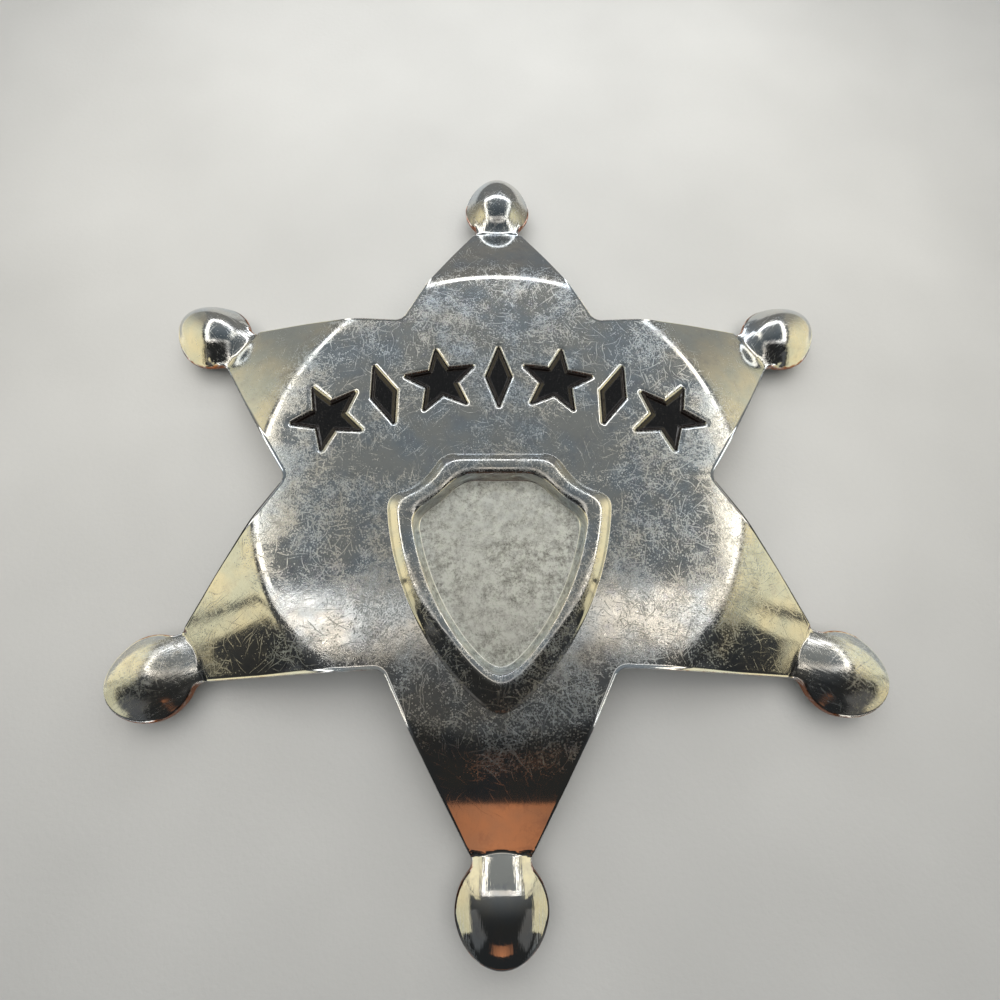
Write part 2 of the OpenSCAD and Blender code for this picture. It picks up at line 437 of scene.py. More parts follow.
# %% [markdown]
# ## The front as one formula
#
# The blank, the border, the sunk shapes and a faint waviness add up to the height of the front. Thin
# sheet is never dead flat: ten slow waves with slopes of a few tenths of a degree make the
# reflections swim a little, as on the real plate. The waves come from a seeded generator, so each run
# gives the same badge.

# %% The front as one formula
WAVE_SLOPE = 0.0022
chance = np.random.default_rng(11)
waves = [
    (chance.uniform(5, 22), chance.uniform(0, math.pi), chance.uniform(0, 2 * math.pi))
    for count in range(10)
]


def wobble(x, y):
    """Height of all the waves; a wave's rate is its radians per millimetre."""
    total = 0.0
    for length, heading, phase in waves:
        rate = 6.28 / length
        along = x * math.cos(heading) + y * math.sin(heading)
        total = total + WAVE_SLOPE / rate * np.sin(rate * along + phase)
    return total


def front_height(x, y):
    relief = border_profile(shield_inset(x, y), y) * near_shield(x, y)
    on_sheet = ease((27.5 - arm_frame(x, y)[0]) / 2)
    return blank_height(x, y) + relief - sunk_depth(x, y) + wobble(x, y) * on_sheet


def slopes(height, x, y, step=0.012):
    across = (height(x + step, y) - height(x - step, y)) / (2 * step)
    along = (height(x, y + step) - height(x, y - step)) / (2 * step)
    return np.stack([across, along], 1)


crest = front_height(np.zeros(1), np.full(1, TOP_Y - CREST_AT))[0]
print("border's crest", round(crest, 2), "mm above the surface")

# %% [markdown]
# ## The rolled lip
#
# A blanking punch drags the metal down at the cut, and tumbling rounds it further. So the front curls
# down over the last 0.3 mm before the edge of the flat face, over half of that on the arms, and in a
# round roll at the outer ends of the balls. This is the thin bright line round the real badge, and no
# bevel modifier makes it as evenly over a bent sheet.

# %% The rolled lip
LIP_W = 0.32
LIP_DROP = 0.15
ARM_LIP_W = 0.16
ARM_LIP_DROP = 0.07
BALL_ROLL = 0.3


def edge_distance(x, y):
    """Distance inwards from the outline, and the direction outwards, for points near it."""
    found = [edge_tree.find((a, b, 0)) for a, b in zip(x, y)]
    index = np.array([f[1] for f in found])
    away = np.stack([x, y], 1) - edge_line[index]
    return -(away * edge_out[index]).sum(1), edge_out[index]


def lip(x, y):
    """Drop of the lip and its slope, for the points given."""
    d, out = edge_distance(x, y)
    along = arm_frame(x, y)[0]
    face_share = ease((24.5 - np.hypot(x, y)) / 3.5)
    width = ARM_LIP_W + (LIP_W - ARM_LIP_W) * face_share
    drop = ARM_LIP_DROP + (LIP_DROP - ARM_LIP_DROP) * face_share
    ball_share = ease((along - BALL_AT) / 1.2)
    width = width + (BALL_ROLL - width) * ball_share
    drop = drop + (BALL_ROLL - drop) * ball_share
    share = np.clip(1 - d / width, 0, 1)
    return drop * share**2, (-2 * drop / width * share)[:, None] * out


print("lip", LIP_W, "mm on the face,", ARM_LIP_W, "mm on the arms")

# %% [markdown]
# ## Points and triangles
#
# A mirror shows its mesh, so the points follow the features: lines parallel to the edge, to the
# border and to each sunk shape, rings on the balls, and an even field of points elsewhere. Blender's
# constrained triangulation joins them and keeps every line. The shading directions come from the
# slope of the formula, not from the triangles, so the reflections stay smooth.

# %% Points and triangles
RIM_EVERY = round(0.2 / EDGE_STEP)


def parallel(depth):
    """The outline moved inwards, with a point every 0.2 mm."""
    return (edge_line - edge_out * depth)[::RIM_EVERY]


def traced(inset, level, middle, reach, gap, count=720):
    """The closed line round a middle where inset equals level, found by halving, in even steps."""
    angles = np.linspace(0, 2 * np.pi, count, endpoint=False)
    near = np.zeros(count)
    far = np.full(count, float(reach))
    for step in range(40):
        half = (near + far) / 2
        inner = inset(*around(middle, half, angles).T) > level
        near, far = np.where(inner, half, near), np.where(inner, far, half)
    return evenly(around(middle, near, angles), gap)


def shape_line(place, level, gap):
    """The line a level inwards from a sunk shape's edge, in the shape's own frame."""
    return traced(lambda x, y: shape_inset(place, x, y), level, (0, 0), 6, gap)


def hexagons(gap, reach):
    rows = np.arange(-reach, reach, gap * 0.866)
    columns = np.arange(-reach, reach, gap)
    spots = [[x + (row % 2) * gap / 2, y] for row, y in enumerate(rows) for x in columns]
    return np.array(spots)


def well_inside(points, lines, room):
    """The points that are inside the outline and not too near to any line."""
    points = points[edge_distance(*points.T)[0] > room]
    tree = KDTree(sum(len(line) for line in lines))
    for number, spot in enumerate(np.vstack(lines)):
        tree.insert((spot[0], spot[1], 0), number)
    tree.balance()
    return points[[tree.find((a, b, 0))[2] > room for a, b in points]]


def triangulate(lines, loose):
    """Joins closed lines and loose points; returns points, triangles and the first line's places."""
    points = np.vstack(lines + [loose])
    edges = []
    first = 0
    for line in lines:
        edges += [(first + k, first + (k + 1) % len(line)) for k in range(len(line))]
        first += len(line)
    made = delaunay_2d_cdt([Vector(p) for p in points.tolist()], edges, [], 1, 1e-7, True)
    place = {old: new for new, olds in enumerate(made[3]) for old in olds}
    rim = [place[k] for k in range(len(lines[0]))]
    flat = np.array([[v.x, v.y] for v in made[0]])
    tris = np.array([list(face) for face in made[2]])
    only_rim = np.flatnonzero(np.isin(tris, rim).all(1))
    middles = flat[tris[only_rim]].mean(1)
    outside = polygon_inset(lines[0], middles[:, 0], middles[:, 1]) < 0
    tris = np.delete(tris, only_rim[outside], 0)
    a, b, c = flat[tris[:, 0]], flat[tris[:, 1]], flat[tris[:, 2]]
    back = np.cross(b - a, c - a) < 0
    tris[back] = tris[back][:, ::-1]
    return flat, tris, rim


def stitched(name, top, top_tris, top_rim, top_dirs, low, low_tris, low_rim, low_dirs, out):
    """One closed mesh from a front skin, a back skin and the wall between their rims."""
    count = len(top)
    ahead = np.roll(np.arange(len(out)), -1)
    t, l = np.array(top_rim), np.array(low_rim) + count
    walls = np.stack([t, l, l[ahead], t[ahead]], 1)
    faces = top_tris.tolist() + (low_tris[:, ::-1] + count).tolist() + walls.tolist()
    mesh = bpy.data.meshes.new(name)
    mesh.from_pydata((np.vstack([top, low]) * MM).tolist(), [], faces)
    side = np.hstack([out, np.zeros((len(out), 1))])
    steps = np.arange(len(out))
    dirs = np.vstack([
        top_dirs[top_tris].reshape(-1, 3),
        low_dirs[low_tris[:, ::-1]].reshape(-1, 3),
        side[np.stack([steps, steps, ahead, ahead], 1)].reshape(-1, 3),
    ])
    mesh.shade_smooth()
    mesh.normals_split_custom_set(dirs.tolist())
    piece = bpy.data.objects.new(name, mesh)
    bpy.context.scene.collection.objects.link(piece)
    print(name, len(mesh.polygons), "faces", "valid" if not mesh.validate() else "mended")
    return piece


def directions(slope, sign=1):
    """Unit shading directions from slopes."""
    dirs = np.hstack([-slope, np.ones((len(slope), 1))]) * sign
    return dirs / np.linalg.norm(dirs, axis=1)[:, None]


# %% [markdown]
# ## The guide lines of the front
#
# All the lines that the front's triangles follow come together here. They are closest where the form
# turns fastest: at the lip, on the border's two walls and at the edges of the sunk shapes.

# %% The guide lines of the front
def ring(middle, radius, gap):
    count = max(6, int(2 * np.pi * radius / gap))
    return around(middle, radius, np.linspace(0, 2 * np.pi, count, endpoint=False))


ball_middles = [turned([BALL_AT, 0.0], turn) for turn in ARM_TURNS]
front_lines = [parallel(depth) for depth in (0.0, 0.04, 0.08, 0.14, 0.2, 0.27, 0.35)]
border_levels = (
    -0.09, -0.03, 0.03, 0.1, 0.2, 0.32, 0.42, 0.5, 0.6, 0.75, 0.92, 1.1, 1.3, 1.5, 1.68, 1.82, 1.92, 1.98,
    2.05, 2.15, 2.28, 2.36, 2.42, 2.48,
)
for level in border_levels:
    front_lines.append(traced(shield_inset, level, SHIELD_MIDDLE, 14, 0.24))
for place in range(7):
    middle, lean = place_on_band(place)
    for level in (-0.42, -0.31, -0.2, -0.1, 0.0, 0.035, 0.07):
        front_lines.append(turned(shape_line(place, level, 0.15), lean) + middle)
print("guide lines", len(front_lines), "with", sum(len(line) for line in front_lines), "points")

# %% [markdown]
# ## The front skin of the star
#
# Between the lines go loose points: rings on the balls, a fine grid on the crease below each ball, rings
# where the arms bend, and an even field elsewhere. None comes too near to a line, because a sliver of a
# triangle would show.

# %% The front skin of the star
ball_radii = np.append(np.arange(0.2, 2.95, 0.19), [3.0, 3.1])
ball_rings = [ring(middle, radius, 0.2) for middle in ball_middles for radius in ball_radii]
neck_grid = np.meshgrid(np.arange(26.9, 29.4, 0.13), np.arange(-2.6, 2.61, 0.2))
neck_rows = np.stack(neck_grid, -1).reshape(-1, 2)
neck_spots = np.vstack([turned(neck_rows, turn) for turn in ARM_TURNS])
bend_rings = [ring((0, 0), radius, 0.35) for radius in np.arange(19.6, 21.7, 0.2)]
loose = np.vstack([hexagons(0.42, 36)] + bend_rings)
p, q = arm_frame(*loose.T)
loose = loose[(np.hypot(p - BALL_AT, q) > 3.5) & (p < 26.8)]
loose = well_inside(loose, front_lines, 0.17)
p, q = arm_frame(*neck_spots.T)
neck_spots = neck_spots[np.hypot(p - BALL_AT, q) > 3.2]
ball_points = well_inside(np.vstack(ball_rings + [neck_spots]), front_lines, 0.08)
flat, front_tris, front_rim = triangulate(front_lines, np.vstack([loose, ball_points]))
drop, drop_slope = lip(*flat.T)
front = np.column_stack([flat, front_height(*flat.T) - drop])
front_dirs = directions(slopes(front_height, *flat.T) - drop_slope)
print("front", len(front), "points", len(front_tris), "triangles")

# %% [markdown]
# ## The back skin of the star
#
# The back shows the stamping in reverse: hollow balls, a groove behind the border and soft bulges
# behind the sunk shapes. The photograph doesn't show it, so it is finished plainly.

# %% The back skin of the star
HOLLOW_R = BALL_R - SHEET
GROOVE_DEEP = 0.72
BULGE_HIGH = 0.28


def back_height(x, y):
    p, q = arm_frame(x, y)
    rho = np.hypot(p - BALL_AT, q)
    base = sheet_height(np.hypot(x, y), SHEET)
    base = np.where(p > FLARE_P, RIM_Z, base)
    hollow = np.where(rho < HOLLOW_R - 0.01, BALL_TOP - SHEET - cap_drop(1.05 * rho), base)
    s = shield_inset(x, y)
    groove = GROOVE_DEEP * ease(1 - np.abs(s - 1.12) / 0.62) * near_shield(x, y)
    bulge = BULGE_HIGH * np.clip(sunk_depth(x, y) / SUNK, 0, 1)
    return hollow + groove - bulge


back_lines = [parallel(depth) for depth in (0.0, 0.1, 0.5)]
for level in (0.5, 0.7, 0.9, 1.12, 1.34, 1.54, 1.74):
    back_lines.append(traced(shield_inset, level, SHIELD_MIDDLE, 14, 0.3))
for middle in ball_middles:
    back_lines += [ring(middle, HOLLOW_R, 0.2), ring(middle, HOLLOW_R - 0.03, 0.2)]
hollow_radii = (0.35, 0.7, 1.05, 1.4, 1.7, 2.0, 2.2, 2.4)
hollow_rings = [ring(middle, radius, 0.28) for middle in ball_middles for radius in hollow_radii]
for place in range(7):
    middle, lean = place_on_band(place)
    for level in (-0.3, -0.1, 0.06):
        back_lines.append(turned(shape_line(place, level, 0.25), lean) + middle)
bend_rings = [ring((0, 0), radius, 0.5) for radius in np.arange(19.4, 21.7, 0.25)]
loose = np.vstack([hexagons(0.6, 36)] + bend_rings + hollow_rings)
loose = well_inside(loose, back_lines, 0.18)
flat, back_tris, back_rim = triangulate(back_lines, loose)
back = np.column_stack([flat, back_height(*flat.T)])
back_dirs = directions(slopes(back_height, *flat.T), -1)
print("back", len(back), "points", len(back_tris), "triangles")

# %% [markdown]
# ## The star as one closed mesh
#
# Both skins share the outline's points, so a strip of faces between the two rims closes the piece, and
# that strip is the cut edge of the sheet.

# %% The star as one closed mesh
rim_out = edge_out[::RIM_EVERY][:len(front_rim)]
star = stitched(
    "star_stamping", front, front_tris, front_rim, front_dirs, back, back_tris, back_rim, back_dirs, rim_out
)
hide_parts("star")
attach(star, "root")

# %% [markdown]
# ## Where the star is worn
#
# Wear could be painted on by hand, but here the formulas already know each place. So the mesh carries
# a few values for each point, which the plate's finish reads later: where the matte field is, which
# walls stay smooth, where the balls are, how near the edge is, and how much the place was handled. The
# flat face is the most handled. On the arms it fades out: the two near side arms are the most rubbed,
# and the near middle arm stays clean past its bend.

# %% Where the star is worn
FACE_WORN_TO = 23.0
MIDDLE_WORN_TO = 23.8
ARM_WORN = 0.32
MIDDLE_ARM_WORN = 0.04
SIDE_ARM_MORE = 0.38


def keep(mesh, name, values):
    """Stores one value, or one vector, for each point of a mesh."""
    kind, field = ("FLOAT", "value") if values.ndim == 1 else ("FLOAT_VECTOR", "vector")
    layer = mesh.attributes.new(name, kind, "POINT")
    layer.data.foreach_set(field, values.astype(np.float32).ravel())


x, y = np.vstack([front, back]).T[:2]
r = np.hypot(x, y)
p, q = arm_frame(x, y)
d = edge_distance(x, y)[0]
is_front = np.arange(len(x)) < len(front)
inset = shield_inset(x, y)
outer_wall = ease((inset + 0.04) / 0.06) * (1 - ease((inset - 0.55) / 0.15)) * ease((y + 14.5) / 4.0)
inner_wall = ease((inset - 1.95) / 0.08) * (1 - ease((inset - BORDER_W) / 0.06))
lip_zone = ease((0.34 - d) / 0.08)
lean = np.abs(x) / r
middle_arm = (y < 0) * (1 - ease((lean - 0.2) / 0.2))
side_arm = (y < 0) * ease((lean - 0.5) / 0.3)
arm_worn = ARM_WORN + (MIDDLE_ARM_WORN - ARM_WORN) * middle_arm + SIDE_ARM_MORE * side_arm
worn_to = FACE_WORN_TO + (MIDDLE_WORN_TO - FACE_WORN_TO) * middle_arm
keep(star.data, "field", ease((inset - 2.34) / 0.1) * is_front)
keep(star.data, "wall", np.clip(outer_wall + inner_wall + lip_zone, 0, 1) * is_front)
keep(star.data, "ball", ease((3.9 - np.hypot(p - BALL_AT, q)) / 0.5))
keep(star.data, "handled", is_front * np.clip(ease((worn_to - r) / 2.6) + arm_worn, 0, 1))
keep(star.data, "edge", np.clip(1 - d / 0.5, 0, 1))
keep(star.data, "cut", np.clip(1 - d / 0.05, 0, 1))
keep(star.data, "arm_place", np.column_stack([p, q, 0 * p]))
print("worn values on", len(x), "points")

# %% [markdown]
# ## The enamel
#
# Enamel goes in soft and dries with a sunk middle, and it clings to the walls. So each fill is a
# shallow dish: its rim is just under the metal's lip and its floor lies deeper. It is made with the
# same two skins as the star, from lines parallel to the shape's edge.

# %% The enamel
FILL_RIM = 0.14
FILL_DISH = 0.17
FILL_EDGE = 0.08


def dish(d):
    """Height of the enamel's top, d inwards from the shape's edge."""
    return FACE_Z - FILL_RIM - FILL_DISH * ease((d - FILL_EDGE) / 0.34)


fills = []
for place in range(7):
    middle, lean = place_on_band(place)
    kind = "star" if place % 2 == 0 else "lozenge"
    node = f"enamel_{kind}_{place // 2 + 1}"
    levels = (0.075, 0.12, 0.18, 0.24, 0.3, 0.36, 0.42, 0.48, 0.62)
    lines = [shape_line(place, level, 0.15 if level < 0.5 else 0.2) for level in levels]
    spots = hexagons(0.3, 4)
    inside = shape_inset(place, *spots.T) > 0.75
    flat, tris, rim = triangulate(lines, spots[inside])
    inner = shape_inset(place, *flat.T)
    top = np.column_stack([flat, dish(inner)])
    tilt = slopes(lambda x, y: dish(shape_inset(place, x, y)), *flat.T)
    low_flat, low_tris, low_rim = triangulate(lines[:1], np.zeros((0, 2)))
    low = np.column_stack([low_flat, np.full(len(low_flat), FACE_Z - SUNK + 0.03)])
    down = np.tile([0.0, 0.0, -1.0], (len(low), 1))
    for skin in (top, low):
        skin[:, :2] = turned(skin[:, :2], lean) + middle
    tilt = turned(tilt, lean)
    sides = turned(outward(lines[0]), lean)
    fill = stitched(node + "_fill", top, tris, rim, directions(tilt), low, low_tris, low_rim, down, sides)
    keep(fill.data, "wall", np.concatenate([1 - ease((inner - 0.1) / 0.36), np.ones(len(low))]))
    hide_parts(node)
    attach(fill, "root")
    fills.append(fill)

# %% [markdown]
# ## The pin back
#
# A bar pin is bent from one strip of steel: the strip is soldered to the star, two ears hold the
# barrel of the stem at one end, and a hook at the other end is the catch. Here it is one plain piece,
# as the photograph hides it. Each part of it is a flat profile pushed out to a thickness, which is
# how sheet work is cut.

# %% The pin back
PIN_Y = 1.0
STRIP_T = 0.6
STRIP_W = 5.6
STRIP_L = 28
STRIP_Z = 4.4
FOOT_TOP = 4.7
FOOT_X = 10.8
FOOT_L = 3.6
BARREL_R = 1.0
STEM_R = 0.45
STEM_Z = STRIP_T + 0.1 + STEM_R
CORNER_STEPS = 14
QUARTER = math.pi / 2


def slab(profile, start, end, axis):
    """Points and faces of a flat profile pushed along an axis from start to end."""
    count = len(profile)
    levels = [np.insert(np.asarray(profile, float), axis, level, 1) for level in (start, end)]
    ahead = [(k + 1) % count for k in range(count)]
    faces = [(k, ahead[k], ahead[k] + count, k + count) for k in range(count)]
    return np.vstack(levels), faces + [tuple(range(count))[::-1], tuple(range(count, 2 * count))]


def ear_profile(corner):
    """An ear seen from the side: square at the top, rounded at its foot."""
    half = FOOT_L / 2
    return np.vstack([
        [[half, FOOT_TOP], [-half, FOOT_TOP]],
        arc((-half + corner, corner), corner, math.pi, QUARTER, CORNER_STEPS),
        arc((half - corner, corner), corner, -QUARTER, QUARTER, CORNER_STEPS),
    ])


def hook_profile(corner, curl):
    """The catch seen along the strip: wall, rounded floor and a lip that curls in over the stem."""
    wide = STRIP_W / 2
    left = (-wide + corner, corner)
    right = (wide - corner, corner)
    over = (-wide + curl, 1.55)
    return np.vstack([
        [[wide, FOOT_TOP], [wide - STRIP_T, FOOT_TOP]],
        arc(right, corner - STRIP_T, 0, -QUARTER, CORNER_STEPS),
        arc(left, corner - STRIP_T, -QUARTER, -QUARTER, CORNER_STEPS),
        arc(over, curl - STRIP_T, math.pi, -math.pi / 3, CORNER_STEPS),
        arc(over, curl, math.pi * 2 / 3, math.pi / 3, CORNER_STEPS),
        arc(left, corner, math.pi, QUARTER, CORNER_STEPS),
        arc(right, corner, -QUARTER, QUARTER, CORNER_STEPS),
    ])


print("stem", round(STEM_Z - STEM_R, 2), "mm above the surface")

# %% [markdown]
# ## The pin back: putting it together
#
# The stem is turned, as on a lathe, to a long point. All the parts go into one mesh, and one bevel
# modifier breaks every edge by the same small radius, as tumbling does.

# %% The pin back: putting it together
def turned_rod(radii, places, centre_y, centre_z, sides=40):
    """A lathe-turned rod along x from its radii at places."""
    angles = np.linspace(0, 2 * np.pi, sides, endpoint=False)
    rows = [
        np.stack([np.full(sides, x), centre_y + r * np.cos(angles), centre_z + r * np.sin(angles)], 1)
        for x, r in zip(places, radii)
    ]
    faces = []
    for row in range(len(rows) - 1):
        for k in range(sides):
            a, b = row * sides + k, row * sides + (k + 1) % sides
            faces.append((a, a + sides, b + sides, b))
    last = (len(rows) - 1) * sides
    faces += [tuple(range(sides)), tuple(range(last, last + sides))[::-1]]
    return np.vstack(rows), faces


straight = (STRIP_L - STRIP_W) / 2
strip_plan = np.vstack([
    arc((straight, PIN_Y), STRIP_W / 2, -QUARTER, math.pi, 32),
    arc((-straight, PIN_Y), STRIP_W / 2, QUARTER, math.pi, 32),
])
parts = [slab(strip_plan, STRIP_Z, STRIP_Z + STRIP_T, 2)]
ear = ear_profile(0.9) + [-FOOT_X, 0]
for side in (-1, 1):
    middle = PIN_Y + side * (STRIP_W - STRIP_T) / 2
    parts.append(slab(ear, middle - STRIP_T / 2, middle + STRIP_T / 2, 1))
barrel = arc((-FOOT_X, STEM_Z), BARREL_R, 0, 2 * math.pi * 39 / 40, 40)
for low, high in ((-2.2, -0.75), (-0.72, 0.72), (0.75, 2.2)):
    parts.append(slab(barrel, PIN_Y + low, PIN_Y + high, 1))
hook = hook_profile(1.2, 1.3) + [PIN_Y, 0]
parts.append(slab(hook, FOOT_X - FOOT_L / 2, FOOT_X + FOOT_L / 2, 0))
stem_places = [-FOOT_X, 10.9, 11.6, 12.3, 12.9, 13.3, 13.5, 13.58, 13.6]
stem_radii = [STEM_R, STEM_R, 0.43, 0.37, 0.27, 0.18, 0.11, 0.06, 0.02]
parts.append(turned_rod(stem_radii, stem_places, PIN_Y, STEM_Z))
points = []
faces = []
for spots, sides in parts:
    faces += [tuple(k + len(points) for k in side) for side in sides]
    points += (spots * MM).tolist()
mesh = bpy.data.meshes.new("bar_pin")
mesh.from_pydata(points, [], faces)
bar_pin = bpy.data.objects.new("bar_pin", mesh)
bpy.context.scene.collection.objects.link(bar_pin)
sheet_work = bmesh.new()
sheet_work.from_mesh(mesh)
bmesh.ops.recalc_face_normals(sheet_work, faces=sheet_work.faces)
sheet_work.to_mesh(mesh)
sheet_work.free()
mesh.shade_smooth()
broken_edges = bar_pin.modifiers.new("broken_edges", "BEVEL")
broken_edges.width = 0.09 * MM
broken_edges.segments = 3
broken_edges.limit_method = "ANGLE"
broken_edges.angle_limit = math.radians(40)
broken_edges.harden_normals = True
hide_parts("pin_back")
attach(bar_pin, "root")
print("bar pin", len(mesh.polygons), "faces before its bevel")

# %% [markdown]
# ## Colours and nodes
#
# Colours are written as sRGB hex codes, as a paint shop gives them, and one function turns them into
# the linear values that Blender mixes. One small function adds a shader node with its settings and
# its links, so each finish below reads as a list of what lies on the surface.

# %% Colours and nodes
def paint(code):
    """An sRGB hex colour as linear values."""
    parts = [int(code[k:k + 2], 16) / 255 for k in (1, 3, 5)]
    return [v / 12.92 if v <= 0.04045 else ((v + 0.055) / 1.055) ** 2.4 for v in parts] + [1.0]


def add(tree, kind, inputs=None, **settings):
    """Adds a node; an input that is a socket is linked, any other is set. Returns its first output."""
    made = tree.nodes.new("ShaderNode" + kind)
    for name, value in settings.items():
        setattr(made, name, value)
    for name, value in (inputs or {}).items():
        if isinstance(value, bpy.types.NodeSocket):
            tree.links.new(value, made.inputs[name])
        else:
            made.inputs[name].default_value = value
    return made.outputs[0] if made.outputs else made


def finish_called(name):
    """A new material with an empty node tree, its shader and the place on the piece in millimetres."""
    material = bpy.data.materials.new(name)
    material.use_nodes = True
    tree = material.node_tree
    tree.nodes.clear()
    shader = add(tree, "BsdfPrincipled").node
    add(tree, "OutputMaterial", {"Surface": shader.outputs[0]})
    place = add(tree, "TexCoord").node.outputs["Object"]
    place = add(tree, "VectorMath", {0: place, "Scale": 1 / MM}, operation="SCALE")
    return material, tree, shader, place


# %% [markdown]
# ## Nickel plate: what the mesh says about each place
#
# The stamping is brass with bright nickel plate. Nickel is a slightly warm, fairly dark mirror. Years
# of handling wear the flat face and the bends, while the balls and the walls of the border stay
# smooth. The values that the mesh carries say which is which, and a slow cloudy noise makes the wear
# uneven, as a duster and a shirt do.

# %% Nickel plate: what the mesh says about each place
nickel, tree, shader, mm = finish_called("worn_nickel_plate")
field, ball, handled, wall, edge, cut = [
    add(tree, "Attribute", attribute_name=name).node.outputs["Fac"]
    for name in ("field", "ball", "handled", "wall", "edge", "cut")
]
cloud = add(tree, "TexNoise", {"Vector": mm, "Scale": 0.16, "Detail": 5.0, "Roughness": 0.62})
cloud = add(tree, "MapRange", {0: cloud, 1: 0.4, 2: 0.6}, interpolation_type="SMOOTHSTEP")
wear = add(tree, "Math", {0: cloud, 1: 0.75, 2: 0.25}, operation="MULTIPLY_ADD")
wear = add(tree, "Math", {0: wear, 1: handled}, operation="MULTIPLY")
wear = add(tree, "Math", {0: field, 1: 0.85, 2: wear}, operation="MULTIPLY_ADD")
smooth = add(tree, "Math", {0: 1.0, 1: wall}, operation="SUBTRACT")
wear = add(tree, "Math", {0: wear, 1: smooth}, operation="MULTIPLY")
print("wear reads", sum(node.type == "ATTRIBUTE" for node in tree.nodes), "values from the mesh")

# %% [markdown]
# ## Nickel plate: haze and pits
#
# Up close the worn face is a dense grain of pits about a tenth of a millimetre across, over a cloudy
# haze. They are not painted white: a pit is a rough spot, and a rough spot gathers light from all
# round, so it looks pale on the dark mirror. A real pit is finer still, but a finer one would only
# flicker from pixel to pixel. The pits are the middles of small random cells, and wear decides how
# many cells have one.

# %% Nickel plate: haze and pits
haze = add(tree, "TexNoise", {"Vector": mm, "Scale": 1.3, "Detail": 7.0, "Roughness": 0.72})
haze = add(tree, "MapRange", {0: haze, 1: 0.36, 2: 0.68})
haze = add(tree, "Math", {0: haze, 1: wear}, operation="MULTIPLY")
chosen = add(tree, "Math", {0: wear, 1: 0.7, 2: -0.08}, operation="MULTIPLY_ADD")
chosen = add(tree, "Math", {0: haze, 1: 0.5, 2: chosen}, operation="MULTIPLY_ADD")
PITS_PER_MM = (5.2, 7.4)
pits = 0.0
for per_mm in PITS_PER_MM:
    cells = add(tree, "TexVoronoi", {"Vector": mm, "Scale": per_mm}).node
    dot = add(tree, "MapRange", {0: cells.outputs["Distance"], 1: 0.46, 2: 0.16})
    pick = add(tree, "SeparateColor", {0: cells.outputs["Color"]})
    pick = add(tree, "Math", {0: pick, 1: chosen}, operation="ADD")
    pick = add(tree, "MapRange", {0: pick, 1: 0.92, 2: 1.3})
    dot = add(tree, "Math", {0: dot, 1: pick}, operation="MULTIPLY")
    pits = add(tree, "Math", {0: dot, 1: pits}, operation="MAXIMUM")
print("pits in cells of", [round(1 / per_mm, 2) for per_mm in PITS_PER_MM], "mm")

# %% [markdown]
# ## Nickel plate: scratches
#
# Fine scratches cross the pits at all headings. They are long stretched cells in eight layers, on a
# place that drifts slowly, so that no scratch is ruler-straight. Each layer below gives its heading,
# its cells per millimetre along and across, and how much of a cell's width the scratch fills.

# %% Nickel plate: scratches
drift = add(tree, "TexNoise", {"Vector": mm, "Scale": 0.4, "Detail": 1.0}).node.outputs[1]
bent = add(tree, "VectorMath", {0: drift, 1: (1.5, 1.5, 0), 2: mm}, operation="MULTIPLY_ADD")
scratches = 0.0
scratch_layers = (
    (0.55, 0.05, 2.2, 0.085), (-0.75, 0.06, 2.5, 0.090), (1.45, 0.07, 2.7, 0.095), (0.1, 0.09, 3.0, 0.095),
    (-1.25, 0.05, 2.0, 0.075), (0.95, 0.1, 3.2, 0.11), (1.95, 0.24, 3.6, 0.14), (-0.35, 0.22, 3.4, 0.14),
)
for angle, along, across, width in scratch_layers:
    stretch = {"Vector": bent, "Rotation": (0, 0, angle), "Scale": (1 / along, 1 / across, 1)}
    turn = add(tree, "Mapping", stretch, vector_type="TEXTURE")
    cells = add(tree, "TexVoronoi", {"Vector": turn, "Scale": 1.0}, voronoi_dimensions="2D").node
    line = add(tree, "MapRange", {0: cells.outputs["Distance"], 1: width, 2: 0.3 * width})
    pick = add(tree, "SeparateColor", {0: cells.outputs["Color"]})
    pick = add(tree, "MapRange", {0: pick, 1: 0.2, 2: 1.0})
    line = add(tree, "Math", {0: line, 1: pick}, operation="MULTIPLY")
    scratches = add(tree, "Math", {0: line, 1: scratches}, operation="MAXIMUM")
marked = add(tree, "MapRange", {0: wear, 1: 0.0, 2: 0.5, 3: 0.12, 4: 1.0})
marked = add(tree, "Math", {0: marked, 1: smooth}, operation="MULTIPLY")
scratches = add(tree, "Math", {0: scratches, 1: marked}, operation="MULTIPLY")
print("scratches in", len(scratch_layers), "layers")

# %% [markdown]
# ## Nickel plate: polish
#
# The balls were finished on a brush, which leaves fine streaks that run from the neck to the tip. They
# blur a reflection along one way only. The same streaks are faint on the arms. All marks together set
# the roughness, and a very shallow bump lets each of them tilt the mirror a little.

# %% Nickel plate: polish
streak_place = add(tree, "Attribute", attribute_name="arm_place").node.outputs["Vector"]
streaks = add(tree, "Mapping", {"Vector": streak_place, "Scale": (0.5, 6.0, 1.0)})
streaks = add(tree, "TexNoise", {"Vector": streaks, "Scale": 1.0, "Detail": 3.0, "Roughness": 0.6})
streaks = add(tree, "MapRange", {0: streaks, 1: 0.35, 2: 0.65})
brushed = add(tree, "MapRange", {0: ball, 1: 0.0, 2: 1.0, 3: 0.15, 4: 1.0})
brushed = add(tree, "Math", {0: streaks, 1: brushed}, operation="MULTIPLY")
dulled = add(tree, "Math", {0: handled, 1: 0.22, 2: 0.03}, operation="MULTIPLY_ADD")
dulled = add(tree, "Math", {0: brushed, 1: dulled}, operation="MULTIPLY")
rough = 0.05
for mark, share in ((pits, 0.5), (scratches, 0.6), (haze, 0.22), (field, 0.3), (dulled, 1.0), (cut, 0.35)):
    rough = add(tree, "Math", {0: mark, 1: share, 2: rough}, operation="MULTIPLY_ADD")
